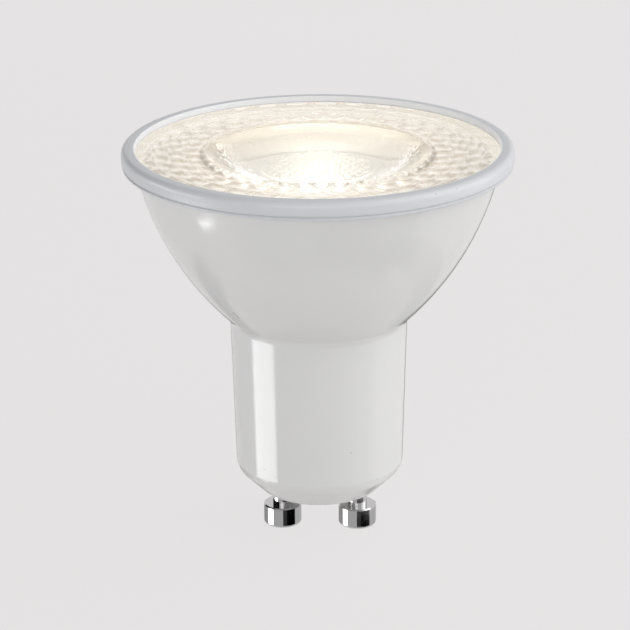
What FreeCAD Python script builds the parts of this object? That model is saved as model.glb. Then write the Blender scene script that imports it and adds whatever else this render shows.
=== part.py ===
import FreeCAD, Part
import Sketcher
import math
import os

# GU10 LED spotlight bulb, in millimetres.
# The origin is midway between the lower ends of the two contact pins. +Z runs up the
# lamp's axis to the lens, and the pins stand on the X axis.

from FreeCAD import Placement, Rotation, Vector

SIZES = {
    # contact pins of the twist-lock cap
    "pin_spacing": 10.0,
    "pin_head_radius": 2.5,
    "pin_head_height": 2.85,
    "pin_head_round": 0.45,
    "pin_head_bevel": 0.15,
    "pin_shank_radius": 1.3,
    "pin_reach": 5.95,
    "pin_collar_radius": 1.9,
    "pin_collar_height": 0.6,
    "pin_tail_radius": 0.95,
    "pin_tail_height": 1.7,
    "pin_hole_clearance": 0.05,
    # housing: base, neck and bowl in one moulding
    "base_floor": 2.05,
    "base_bevel": 3.1,
    "base_bevel_round": 2.0,
    "base_edge_round": 0.3,
    "neck_length": 23.75,
    "neck_base_radius": 10.97,
    "neck_top_radius": 11.53,
    "neck_wall": 1.28,
    "neck_fillet": 1.3,
    "bowl_depth": 20.17,
    "bowl_curve": 39.5,
    "bowl_wall": 1.2,
    "ledge_rise": 7.0,
    "ledge_width": 0.8,
    # front ring
    "ring_radius": 25.0,
    "ring_height": 2.45,
    "ring_wall": 1.2,
    "ring_lip_width": 1.72,
    "ring_overhang": 1.82,
    "ring_rise": 0.38,
    "ring_top_round": 0.8,
    "ring_lower_round": 0.5,
    "ring_fit": 0.05,
    # lens
    "lens_recess": 0.84,
    "lens_edge_thickness": 0.95,
    "crater_inset": 8.98,
    "crater_depth": 2.35,
    "crater_wall_run": 5.6,
    "crater_curve": 14.0,
    "cell_disc_margin": 1.45,
    "cell_disc_height": 0.2,
    "collimator_overhang": 0.6,
    "collimator_foot_radius": 6.4,
    "collimator_curve": 24.0,
    "collimator_clearance": 0.1,
    "pocket_wall": 1.0,
    "pocket_draft": 0.5,
    "pocket_depth": 5.3,
    "pocket_curve": 11.0,
    "facet_land": 0.12,
    "facet_depth": 0.32,
    "facet_scallop": 0.45,
    "facet_margin": 0.6,
    "cell_pitch": 1.22,
    "cell_height": 0.16,
    "cell_dome": 0.22,
    # aluminium cup under the light source
    "cup_fit": 0.1,
    "cup_wall": 0.8,
    "cup_floor": 1.2,
    "cup_top_clearance": 0.7,
    "wire_hole_radius": 2.4,
    "wire_hole_shift": 1.16,
    # light source
    "thermal_pad_radius": 8.5,
    "thermal_pad_thickness": 0.3,
    "led_board_clearance": 1.9,
    "led_board_thickness": 1.2,
    "wire_notch_width": 5.0,
    "wire_notch_margin": 1.4,
    "wire_notch_overrun": 1.0,
    "source_width": 7.0,
    "source_thickness": 0.7,
    "source_dam_radius": 3.4,
    "source_dam_width": 0.45,
    "source_dam_height": 0.35,
    "phosphor_height": 0.3,
    "solder_radius": 0.9,
    "solder_height": 0.75,
    # screws that hold the light source down
    "screw_shift": 0.86,
    "screw_radius": 0.95,
    "screw_length": 3.3,
    "screw_head_radius": 1.9,
    "screw_head_height": 1.2,
    "screw_head_round": 0.4,
    "screw_fit": 0.03,
    "screw_board_clearance": 0.15,
    # driver board and the ribs that hold it
    "board_face": 1.6,
    "board_thickness": 1.0,
    "board_side_clearance": 0.45,
    "board_foot_rise": 2.3,
    "board_top_clearance": 1.0,
    "board_foot_chamfer": 1.2,
    "rib_foot_rise": 1.75,
    "rib_top_drop": 2.7,
    "rib_width": 1.0,
    "rib_reach": 0.7,
    "rib_root": 0.4,
    "rib_fit": 0.05,
    # parts on the driver board
    "transformer_rise": 13.6,
    "core_width": 10.2,
    "core_height": 9.6,
    "core_depth": 4.6,
    "core_leg": 1.1,
    "core_centre_leg": 2.8,
    "core_yoke": 1.5,
    "core_window_overrun": 1.0,
    "coil_width": 7.4,
    "coil_depth": 7.6,
    "coil_corner": 1.1,
    "coil_fit": 0.05,
    "input_capacitor_radius": 3.15,
    "input_capacitor_clearance": 0.73,
    "output_capacitor_radius": 2.5,
    "output_capacitor_length": 7.0,
    "capacitor_gap": 1.3,
    "capacitor_drop": 5.5,
    "can_bevel": 0.3,
    "can_crimp_height": 1.0,
    "can_crimp_depth": 0.25,
    "can_crimp_width": 0.9,
    "film_capacitor_width": 6.0,
    "film_capacitor_height": 4.6,
    "film_capacitor_depth": 3.0,
    "mains_parts_offset": 4.1,
    "mains_parts_rise": 6.4,
    "fuse_radius": 1.25,
    "fuse_length": 5.4,
    "fuse_end_round": 0.5,
    "lead_radius": 0.3,
    "lead_bend": 0.6,
    "lead_reach": 0.75,
    "package_draft": 0.2,
    "bridge_width": 4.7,
    "bridge_height": 3.9,
    "bridge_depth": 2.5,
    "bridge_rise": 6.5,
    "driver_ic_width": 3.9,
    "driver_ic_height": 4.9,
    "driver_ic_depth": 1.5,
    "driver_ic_rise": 13.5,
    "diode_width": 4.3,
    "diode_height": 2.6,
    "diode_depth": 2.2,
    "diode_rise": 19.5,
    "chip_width": 1.6,
    "chip_height": 3.2,
    "chip_depth": 0.55,
    "chip_offset": 5.6,
    "chip_pitch": 5.0,
    # wires
    "mains_wire_radius": 0.4,
    "mains_wire_fit": 0.05,
    "mains_wire_rise": 1.2,
    "mains_wire_bend": 0.8,
    "led_wire_radius": 0.55,
    "led_wire_offset": 1.2,
    "led_wire_drop": 1.3,
    "led_wire_bend": 1.2,
    "led_wire_landing": 0.4,
}
FACETS_PER_TURN = 36
FACET_ROWS = 4

doc = FreeCAD.newDocument("gu10_spotlight_bulb")
sheet = doc.addObject("Spreadsheet::Sheet", "Sizes")
for row, (alias, value) in enumerate(SIZES.items(), start=1):
    sheet.set(f"A{row}", alias)
    sheet.set(f"B{row}", str(value))
    sheet.setAlias(f"B{row}", alias)
doc.recompute()


class Length:
    """A length worked out from the sheet: its number and the formula that gives it."""

    def __init__(self, number, formula):
        self.number = number
        self.formula = formula

    def joined(self, sign, other, number):
        text = other.formula if isinstance(other, Length) else str(other)
        return Length(number, f"({self.formula} {sign} {text})")

    def __float__(self):
        return float(self.number)

    def __add__(self, other):
        return self.joined("+", other, self.number + float(other))

    def __sub__(self, other):
        return self.joined("-", other, self.number - float(other))

    def __mul__(self, other):
        return self.joined("*", other, self.number * float(other))

    def __truediv__(self, other):
        return self.joined("/", other, self.number / float(other))

    def __neg__(self):
        return Length(-self.number, f"(-{self.formula})")

    def root(self):
        return Length(math.sqrt(self.number), f"sqrt({self.formula})")


def size(alias):
    return Length(float(sheet.get(alias)), f"Sizes.{alias}")


def bind(thing, prop, length):
    thing.setExpression(prop, length.formula)


# helpers for sketches and features


def new_body(label):
    body = doc.addObject("PartDesign::Body", label)
    body.Label = label
    return body


def new_sketch(body, role, offset=None):
    """A sketch on one of the body's own planes, moved along the plane's normal."""
    plane = next(p for p in body.Origin.OriginFeatures if p.Role == role)
    sketch = body.newObject("Sketcher::SketchObject", f"{body.Label}_sketch")
    sketch.AttachmentSupport = (plane, [""])
    sketch.MapMode = "FlatFace"
    if offset is not None:
        bind(sketch, "AttachmentOffset.Base.z", offset)
    return sketch


def fix_point(sketch, side, end, axis, length):
    """Hold one coordinate of a point to a length, or to the sketch's own axis."""
    if not isinstance(length, Length):
        sketch.addConstraint(Sketcher.Constraint("PointOnObject", side, end, -2 if axis == "X" else -1))
        return
    kind = "Distance" + axis
    index = sketch.addConstraint(Sketcher.Constraint(kind, -1, 1, side, end, float(length)))
    bind(sketch, f"Constraints[{index}]", length)


def arc_middle(start, end, radius, centre_side):
    """Halfway point of an arc whose centre lies left (1) or right (-1) of start to end."""
    chord = end - start
    left = Vector(-chord.y, chord.x, 0).normalize()
    sagitta = radius - math.sqrt(radius**2 - (chord.Length / 2) ** 2)
    return (start + end) / 2 - left * (centre_side * sagitta)


def draw_outline(sketch, corners, arcs=None):
    """A closed outline; arcs gives a side's radius and the side of it that its centre is on."""
    arcs = arcs or {}
    points = [Vector(float(across), float(up), 0) for across, up in corners]
    first = sketch.GeometryCount
    count = len(points)
    ends = []
    for side, start in enumerate(points):
        end = points[(side + 1) % count]
        if side in arcs:
            radius, centre_side = arcs[side]
            middle = arc_middle(start, end, float(radius), centre_side)
            sketch.addGeometry(Part.Arc(start, middle, end), False)
        else:
            sketch.addGeometry(Part.LineSegment(start, end), False)
        starts_here = sketch.getPoint(first + side, 1).distanceToPoint(start) < start.distanceToPoint(end) / 2
        ends.append((1, 2) if starts_here else (2, 1))
    for side, (across, up) in enumerate(corners):
        before = (side - 1) % count
        joint = ("Coincident", first + before, ends[before][1], first + side, ends[side][0])
        sketch.addConstraint(Sketcher.Constraint(*joint))
        fix_point(sketch, first + side, ends[side][0], "X", across)
        fix_point(sketch, first + side, ends[side][0], "Y", up)
    for side, (radius, _) in arcs.items():
        index = sketch.addConstraint(Sketcher.Constraint("Radius", first + side, float(radius)))
        bind(sketch, f"Constraints[{index}]", radius)


def draw_circle(sketch, across, up, radius):
    centre = Vector(float(across), float(up), 0)
    side = sketch.addGeometry(Part.Circle(centre, Vector(0, 0, 1), float(radius)), False)
    fix_point(sketch, side, 3, "X", across)
    fix_point(sketch, side, 3, "Y", up)
    index = sketch.addConstraint(Sketcher.Constraint("Radius", side, float(radius)))
    bind(sketch, f"Constraints[{index}]", radius)


def draw_rectangle(sketch, left, right, low, high):
    draw_outline(sketch, [(left, low), (right, low), (right, high), (left, high)])


def revolve(body, sketch):
    turned = body.newObject("PartDesign::Revolution", f"{body.Label}_turned")
    turned.Profile = sketch
    turned.ReferenceAxis = (sketch, ["V_Axis"])
    turned.Angle = 360
    doc.recompute()
    return turned


def pad(body, sketch, length):
    padded = body.newObject("PartDesign::Pad", f"{body.Label}_pad")
    padded.Profile = sketch
    bind(padded, "Length", length)
    doc.recompute()
    return padded


def pocket_through(body, sketch):
    """A pocket through all the material on both sides of its sketch."""
    before = body.Shape.Volume
    cut = body.newObject("PartDesign::Pocket", f"{body.Label}_pocket")
    cut.Profile = sketch
    cut.Type = "ThroughAll"
    cut.Midplane = True
    doc.recompute()
    if not body.Shape.Volume < before:
        raise RuntimeError(f"a pocket in {body.Label} cut nothing")
    return cut


def round_rings(body, radius, places, kind="Fillet"):
    """Round or bevel the circular edges of a turned body at the given radii and heights."""
    base = body.Tip
    names = []
    for number, edge in enumerate(base.Shape.Edges, start=1):
        if not isinstance(edge.Curve, Part.Circle):
            continue
        for ring, height in places:
            same_ring = abs(edge.Curve.Radius - float(ring)) < 1e-4
            same_height = abs(edge.Curve.Center.z - float(height)) < 1e-4
            on_axis = math.hypot(edge.Curve.Center.x, edge.Curve.Center.y) < 1e-4
            if same_ring and same_height and on_axis:
                names.append(f"Edge{number}")
    if not names:
        raise RuntimeError(f"no edge to round on {body.Label}")
    rounded = body.newObject(f"PartDesign::{kind}", f"{body.Label}_{kind.lower()}")
    rounded.Base = (base, names)
    bind(rounded, "Radius" if kind == "Fillet" else "Size", radius)
    doc.recompute()
    return rounded


def box(label, low, high):
    """A block between two corners, each given as three lengths."""
    block = doc.addObject("Part::Box", label)
    block.Label = label
    for prop, start, end in zip(("Length", "Width", "Height"), low, high):
        bind(block, prop, end - start)
    for axis, start in zip("xyz", low):
        bind(block, f"Placement.Base.{axis}", start)
    return block


def wire_run(points, bend, radius):
    """A round wire along straight runs joined by tangent arcs."""
    edges = []
    start = points[0]
    for before, corner, after in zip(points, points[1:], points[2:]):
        into = (corner - before).normalize()
        away = (after - corner).normalize()
        half_turn = into.getAngle(away) / 2
        cut_back = bend * math.tan(half_turn)
        arc_start = corner - into * cut_back
        arc_end = corner + away * cut_back
        inward = (away - into).normalize()
        centre = corner + inward * (bend / math.cos(half_turn))
        edges.append(Part.LineSegment(start, arc_start).toShape())
        edges.append(Part.Arc(arc_start, centre - inward * bend, arc_end).toShape())
        start = arc_end
    edges.append(Part.LineSegment(start, points[-1]).toShape())
    path = Part.Wire(edges)
    section = Part.Wire([Part.Circle(points[0], points[1] - points[0], radius).toShape()])
    return path.makePipeShell([section], True, False)


def keep_shape(label, shape):
    feature = doc.addObject("Part::Feature", label)
    feature.Label = label
    feature.Shape = shape
    return feature


# levels and radii that several pieces share

base_height = size("pin_reach")
floor_top = base_height + size("base_floor")
bevel_top = base_height + size("base_bevel")
neck_top = base_height + size("neck_length")
bowl_top = neck_top + size("bowl_depth")
ring_radius = size("ring_radius")
ring_foot = bowl_top + size("ring_rise")
overall_height = ring_foot + size("ring_height")
opening_radius = ring_radius - size("ring_lip_width")
ring_bore = ring_radius - size("ring_wall")
flange_radius = ring_bore - size("ring_fit")
bowl_top_radius = ring_radius - size("ring_overhang")
lens_top = overall_height - size("lens_recess")
flange_top = lens_top - size("lens_edge_thickness")
ledge_height = neck_top + size("ledge_rise")
cup_floor_top = ledge_height + size("cup_floor")
led_board_foot = cup_floor_top + size("thermal_pad_thickness")
led_board_top = led_board_foot + size("led_board_thickness")
source_top = led_board_top + size("source_thickness")
crater_radius = opening_radius - size("crater_inset")
crater_floor_radius = crater_radius - size("crater_wall_run")
cell_disc_radius = crater_floor_radius - size("cell_disc_margin")
collimator_radius = crater_radius + size("collimator_overhang")
inner_neck_radius = size("neck_base_radius") - size("neck_wall")
board_face = size("board_face")
board_back = board_face + size("board_thickness")
board_chord = (inner_neck_radius * inner_neck_radius - board_back * board_back).root()
board_half_width = board_chord - size("board_side_clearance")
inner_neck_top = size("neck_top_radius") - size("neck_wall")
board_top_chord = (inner_neck_top * inner_neck_top - board_back * board_back).root()
board_top_half_width = board_top_chord - size("board_side_clearance")
capacitor_level = ledge_height - size("capacitor_drop")
mains_parts_level = floor_top + size("mains_parts_rise")
pin_offset = size("pin_spacing") / 2

# The bowl's section is one arc through its foot and its top. Its centre lies on the
# chord's perpendicular, on the side of the lamp's axis.
bowl_curve = size("bowl_curve")
bowl_run = bowl_top_radius - size("neck_top_radius")
bowl_rise = size("bowl_depth")
bowl_chord = (bowl_run * bowl_run + bowl_rise * bowl_rise).root()
centre_back = (bowl_curve * bowl_curve - bowl_chord * bowl_chord / 4).root() / bowl_chord
bowl_centre_radius = size("neck_top_radius") + bowl_run / 2 - centre_back * bowl_rise
bowl_centre_height = neck_top + bowl_rise / 2 + centre_back * bowl_run


def underside(radius):
    """Height of the sloping underside that the ring and the housing's flange share."""
    return bowl_top + size("ring_rise") * (radius - bowl_top_radius) / size("ring_overhang")


def bowl_radius(height, inset):
    """Radius of the bowl's arc, moved inward by inset, at a height."""
    curve = bowl_curve - inset
    rise = height - bowl_centre_height
    return bowl_centre_radius + (curve * curve - rise * rise).root()


def bowl_height(radius, inset):
    """Height at which the moved arc has a radius, below the arc's centre."""
    curve = bowl_curve - inset
    run = radius - bowl_centre_radius
    return bowl_centre_height - (curve * curve - run * run).root()


# the light-source board reaches nearly to the cup's wall; screws and wires pass
# between the collimator's foot and the board's edge
cup_wall_inset = size("bowl_wall") + size("cup_fit") + size("cup_wall")
led_board_radius = bowl_radius(cup_floor_top, cup_wall_inset) - size("led_board_clearance")
board_ring_middle = (size("collimator_foot_radius") + led_board_radius) / 2
screw_offset = board_ring_middle + size("screw_shift")
wire_hole_offset = board_ring_middle + size("wire_hole_shift")
notch_edge = wire_hole_offset - size("wire_notch_margin")
wire_end = notch_edge - size("led_wire_landing")


# housing


def make_housing():
    body = new_body("housing")
    neck_base = size("neck_base_radius")
    bowl_wall = size("bowl_wall")
    thick_wall = bowl_wall + size("ledge_width")
    inner_bevel = size("base_bevel") - size("base_floor") + size("neck_wall") / 2
    corners = [
        (0, base_height),
        (neck_base - size("base_bevel"), base_height),
        (neck_base, bevel_top),
        (size("neck_top_radius"), neck_top),
        (bowl_top_radius, bowl_top),
        (flange_radius, underside(flange_radius)),
        (flange_radius, flange_top),
        (bowl_radius(flange_top, bowl_wall), flange_top),
        (bowl_radius(ledge_height, bowl_wall), ledge_height),
        (bowl_radius(ledge_height, thick_wall), ledge_height),
        (inner_neck_top, bowl_height(inner_neck_top, thick_wall)),
        (inner_neck_radius, floor_top + inner_bevel),
        (inner_neck_radius - inner_bevel, floor_top),
        (0, floor_top),
    ]
    arcs = {
        3: (bowl_curve, 1),
        7: (bowl_curve - bowl_wall, -1),
        9: (bowl_curve - thick_wall, -1),
    }
    sketch = new_sketch(body, "XZ_Plane")
    draw_outline(sketch, corners, arcs)
    revolve(body, sketch)

    # bores for the contact pins
    sketch = new_sketch(body, "XY_Plane", base_height)
    bore = size("pin_shank_radius") + size("pin_hole_clearance")
    draw_circle(sketch, pin_offset, 0, bore)
    draw_circle(sketch, -pin_offset, 0, bore)
    before = body.Shape.Volume
    bores = body.newObject("PartDesign::Pocket", "pin_bores")
    bores.Profile = sketch
    bores.Reversed = True
    bind(bores, "Length", size("base_floor"))
    doc.recompute()
    if not body.Shape.Volume < before:
        raise RuntimeError("the pin bores cut nothing")

    # pairs of ribs that hold the driver board's edges
    rib_foot = floor_top + size("rib_foot_rise")
    sketch = new_sketch(body, "XY_Plane", rib_foot)
    inner_end = board_half_width - size("rib_reach")
    outer_end = inner_neck_radius + size("rib_root")
    front = board_face - size("rib_fit")
    back = board_back + size("rib_fit")
    rib_width = size("rib_width")
    for low, high in ((front - rib_width, front), (back, back + rib_width)):
        draw_rectangle(sketch, inner_end, outer_end, low, high)
        draw_rectangle(sketch, -outer_end, -inner_end, low, high)
    pad(body, sketch, neck_top - size("rib_top_drop") - rib_foot)

    round_rings(body, size("neck_fillet"), [(size("neck_top_radius"), neck_top)])
    round_rings(body, size("base_bevel_round"), [(neck_base, bevel_top)])
    foot_ring = neck_base - size("base_bevel")
    round_rings(body, size("base_edge_round"), [(foot_ring, base_height)])
    return body


# front ring


def make_front_ring():
    body = new_body("front_ring")
    corners = [
        (ring_bore, underside(ring_bore)),
        (ring_radius, ring_foot),
        (ring_radius, overall_height),
        (opening_radius, overall_height),
        (opening_radius, lens_top),
        (ring_bore, lens_top),
    ]
    sketch = new_sketch(body, "XZ_Plane")
    draw_outline(sketch, corners)
    revolve(body, sketch)
    round_rings(body, size("ring_top_round"), [(ring_radius, overall_height)])
    round_rings(body, size("ring_lower_round"), [(ring_radius, ring_foot)])
    return body


# lens


def make_lens_blank():
    """The turned form of the lens: edge, crater, collimator cone and source pocket."""
    body = new_body("lens_blank")
    crater_floor = lens_top - size("crater_depth")
    disc_top = crater_floor + size("cell_disc_height")
    foot = led_board_top + size("collimator_clearance")
    pocket_top = foot + size("pocket_depth")
    pocket_foot_radius = size("collimator_foot_radius") - size("pocket_wall")
    pocket_radius = pocket_foot_radius - size("pocket_draft")
    pocket_curve = size("pocket_curve")
    pocket_sag = pocket_curve - (pocket_curve * pocket_curve - pocket_radius * pocket_radius).root()
    corners = [
        (0, disc_top),
        (0, pocket_top - pocket_sag),
        (pocket_radius, pocket_top),
        (pocket_foot_radius, foot),
        (size("collimator_foot_radius"), foot),
        (collimator_radius, flange_top),
        (flange_radius, flange_top),
        (flange_radius, lens_top),
        (crater_radius, lens_top),
        (crater_floor_radius, crater_floor),
        (cell_disc_radius, crater_floor),
        (cell_disc_radius, disc_top),
    ]
    arcs = {
        1: (pocket_curve, 1),
        4: (size("collimator_curve"), 1),
        8: (size("crater_curve"), -1),
    }
    sketch = new_sketch(body, "XZ_Plane")
    draw_outline(sketch, corners, arcs)
    revolve(body, sketch)
    return body


def pyramid(outline, tip):
    """A solid with a flat outline at one end and a point at the other."""
    count = len(outline)
    sides = [
        Part.Face(Part.makePolygon([outline[i], outline[(i + 1) % count], tip, outline[i]]))
        for i in range(count)
    ]
    flat = Part.Face(Part.makePolygon(outline + [outline[0]]))
    solid = Part.makeSolid(Part.makeShell(sides + [flat]))
    if solid.Volume < 0:
        solid.reverse()
    return solid


def facet_dish(inner, outer, middle_angle, inner_bulge):
    """A shallow dish between two radii, cut down from the lens's top face."""
    land = float(size("facet_land")) / 2
    depth = float(size("facet_depth"))
    top = float(lens_top)
    over = 0.05  # how far the cutter stands above the face
    half_step = math.pi / FACETS_PER_TURN
    inner += land
    outer -= land
    outline = []
    for radius, turn in (
        (inner, -1),
        (outer, -1),
        (outer, 0),
        (outer, 1),
        (inner, 1),
        (inner - inner_bulge, 0),
    ):
        angle = middle_angle + turn * (half_step - land / radius)
        outline.append(Vector(radius * math.cos(angle), radius * math.sin(angle), top))
    middle = (inner + outer) / 2
    tip = Vector(middle * math.cos(middle_angle), middle * math.sin(middle_angle), top - depth)
    grown = [tip + (corner - tip) * ((depth + over) / depth) for corner in outline]
    return pyramid(grown, tip)


def make_facet_cutters():
    """Staggered rows of dishes round the crater, like bricks laid in rings."""
    dishes = []
    step = 2 * math.pi / FACETS_PER_TURN
    innermost = float(crater_radius + size("facet_margin"))
    width = (float(opening_radius) - innermost) / FACET_ROWS
    for row in range(FACET_ROWS):
        inner = innermost + width * (FACET_ROWS - 1 - row)
        outer = inner + width
        bulge = float(size("facet_scallop")) if row == FACET_ROWS - 1 else 0
        for place in range(FACETS_PER_TURN):
            angle = (place + 0.5 * (row % 2)) * step
            dishes.append(facet_dish(inner, outer, angle, bulge))
    return keep_shape("facet_cutters", Part.makeCompound(dishes))


def make_cells():
    """Small six-sided lenslets, close-packed on the disc in the middle of the crater."""
    pitch = float(size("cell_pitch"))
    land = float(size("facet_land"))
    corner = (pitch - land) / math.sqrt(3)
    limit = float(cell_disc_radius) - corner
    root = 0.05  # how far a cell's foot is let into the disc
    disc_top = float(lens_top - size("crater_depth") + size("cell_disc_height"))
    reach = int(limit / pitch) + 2
    cells = []
    for column in range(-reach, reach + 1):
        for line in range(-reach, reach + 1):
            across = pitch * (column + line / 2)
            along = pitch * line * math.sqrt(3) / 2
            away = math.hypot(across, along)
            if away > limit:
                continue
            height = float(size("cell_height")) + float(size("cell_dome")) * (1 - (away / limit) ** 2)
            spread = corner * (height + root) / height
            outline = [
                Vector(
                    across + spread * math.cos(math.radians(60 * side + 30)),
                    along + spread * math.sin(math.radians(60 * side + 30)),
                    disc_top - root,
                )
                for side in range(6)
            ]
            cells.append(pyramid(outline, Vector(across, along, disc_top + height)))
    return keep_shape("lens_cells", Part.makeCompound(cells))


def make_lens():
    faceted = doc.addObject("Part::Cut", "faceted_lens")
    faceted.Base = make_lens_blank()
    faceted.Tool = make_facet_cutters()
    faceted.Refine = False
    lens = doc.addObject("Part::Fuse", "lens")
    lens.Label = "lens"
    lens.Base = faceted
    lens.Tool = make_cells()
    lens.Refine = False
    return lens


# contact pins


def make_contact_pin(label, offset):
    body = new_body(label)
    head_radius = size("pin_head_radius")
    head_top = size("pin_head_height")
    shank = size("pin_shank_radius")
    collar_top = floor_top + size("pin_collar_height")
    tail_top = collar_top + size("pin_tail_height")
    bore = size("mains_wire_radius") + size("mains_wire_fit")
    bore_foot = base_height + size("base_floor") / 2
    corners = [
        (0, 0),
        (head_radius, 0),
        (head_radius, head_top),
        (shank, head_top),
        (shank, floor_top),
        (size("pin_collar_radius"), floor_top),
        (size("pin_collar_radius"), collar_top),
        (size("pin_tail_radius"), collar_top),
        (size("pin_tail_radius"), tail_top),
        (bore, tail_top),
        (bore, bore_foot),
        (0, bore_foot),
    ]
    sketch = new_sketch(body, "XZ_Plane")
    draw_outline(sketch, corners)
    revolve(body, sketch)
    round_rings(body, size("pin_head_round"), [(head_radius, 0)])
    round_rings(body, size("pin_head_bevel"), [(head_radius, head_top)], "Chamfer")
    bind(body, "Placement.Base.x", offset)
    return body


# aluminium cup, thermal pad and light source


def make_heat_sink():
    body = new_body("heat_sink")
    outer_inset = size("bowl_wall") + size("cup_fit")
    inner_inset = outer_inset + size("cup_wall")
    rim = flange_top - size("cup_top_clearance")
    corners = [
        (0, ledge_height),
        (bowl_radius(ledge_height, outer_inset), ledge_height),
        (bowl_radius(rim, outer_inset), rim),
        (bowl_radius(rim, inner_inset), rim),
        (bowl_radius(cup_floor_top, inner_inset), cup_floor_top),
        (0, cup_floor_top),
    ]
    arcs = {1: (bowl_curve - outer_inset, 1), 3: (bowl_curve - inner_inset, -1)}
    sketch = new_sketch(body, "XZ_Plane")
    draw_outline(sketch, corners, arcs)
    revolve(body, sketch)
    sketch = new_sketch(body, "XY_Plane", ledge_height)
    draw_circle(sketch, 0, -wire_hole_offset, size("wire_hole_radius"))
    tapped = size("screw_radius") + size("screw_fit")
    draw_circle(sketch, screw_offset, 0, tapped)
    draw_circle(sketch, -screw_offset, 0, tapped)
    pocket_through(body, sketch)
    return body


def make_thermal_pad():
    disc = doc.addObject("Part::Cylinder", "thermal_pad")
    disc.Label = "thermal_pad"
    bind(disc, "Radius", size("thermal_pad_radius"))
    bind(disc, "Height", size("thermal_pad_thickness"))
    bind(disc, "Placement.Base.z", cup_floor_top)
    return disc


def make_led_board():
    body = new_body("led_board")
    sketch = new_sketch(body, "XY_Plane", led_board_foot)
    draw_circle(sketch, 0, 0, led_board_radius)
    pad(body, sketch, size("led_board_thickness"))
    sketch = new_sketch(body, "XY_Plane", led_board_foot)
    hole = size("screw_radius") + size("screw_board_clearance")
    draw_circle(sketch, screw_offset, 0, hole)
    draw_circle(sketch, -screw_offset, 0, hole)
    half_notch = size("wire_notch_width") / 2
    notch_start = led_board_radius + size("wire_notch_overrun")
    draw_rectangle(sketch, -half_notch, half_notch, -notch_start, -notch_edge)
    pocket_through(body, sketch)
    return body


def make_led_source():
    """A ceramic plate with a low dam round the lit disc."""
    body = new_body("led_source")
    half = size("source_width") / 2
    sketch = new_sketch(body, "XY_Plane", led_board_top)
    draw_rectangle(sketch, -half, half, -half, half)
    pad(body, sketch, size("source_thickness"))
    sketch = new_sketch(body, "XY_Plane", source_top)
    draw_circle(sketch, 0, 0, size("source_dam_radius"))
    draw_circle(sketch, 0, 0, size("source_dam_radius") - size("source_dam_width"))
    pad(body, sketch, size("source_dam_height"))
    return body


def make_led_phosphor():
    disc = doc.addObject("Part::Cylinder", "led_phosphor")
    disc.Label = "led_phosphor"
    bind(disc, "Radius", size("source_dam_radius") - size("source_dam_width"))
    bind(disc, "Height", size("phosphor_height"))
    bind(disc, "Placement.Base.z", source_top)
    return disc


def make_board_screw(name, offset):
    body = new_body(name)
    head_radius = size("screw_head_radius")
    head_top = led_board_top + size("screw_head_height")
    tip = led_board_top - size("screw_length")
    corners = [
        (0, tip),
        (size("screw_radius"), tip),
        (size("screw_radius"), led_board_top),
        (head_radius, led_board_top),
        (head_radius, head_top),
        (0, head_top),
    ]
    sketch = new_sketch(body, "XZ_Plane")
    draw_outline(sketch, corners)
    revolve(body, sketch)
    round_rings(body, size("screw_head_round"), [(head_radius, head_top)])
    bind(body, "Placement.Base.x", offset)
    return body


def make_board_screws():
    pair = doc.addObject("Part::Compound", "board_screws")
    pair.Label = "board_screws"
    pair.Links = [
        make_board_screw("screw_right", screw_offset),
        make_board_screw("screw_left", -screw_offset),
    ]
    return pair


def make_solder_joints():
    joints = []
    for name, side in (("solder_right", 1), ("solder_left", -1)):
        joint = doc.addObject("Part::Cone", name)
        bind(joint, "Radius1", size("solder_radius"))
        bind(joint, "Radius2", size("solder_radius") / 2)
        bind(joint, "Height", size("solder_height"))
        bind(joint, "Placement.Base.x", size("led_wire_offset") * side)
        bind(joint, "Placement.Base.y", size("solder_radius") - wire_end)
        bind(joint, "Placement.Base.z", led_board_top)
        joints.append(joint)
    pair = doc.addObject("Part::Compound", "led_solder_joints")
    pair.Label = "led_solder_joints"
    pair.Links = joints
    return pair


# driver board and what stands on it


def make_driver_board():
    body = new_body("driver_board")
    half = board_half_width
    top_half = board_top_half_width
    chamfer = size("board_foot_chamfer")
    foot = floor_top + size("board_foot_rise")
    top = ledge_height - size("board_top_clearance")
    sketch = new_sketch(body, "XZ_Plane", -board_back)
    draw_outline(
        sketch,
        [
            (-half + chamfer, foot),
            (half - chamfer, foot),
            (half, foot + chamfer),
            (top_half, neck_top),
            (top_half, top),
            (-top_half, top),
            (-top_half, neck_top),
            (-half, foot + chamfer),
        ],
    )
    pad(body, sketch, size("board_thickness"))
    return body


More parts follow.
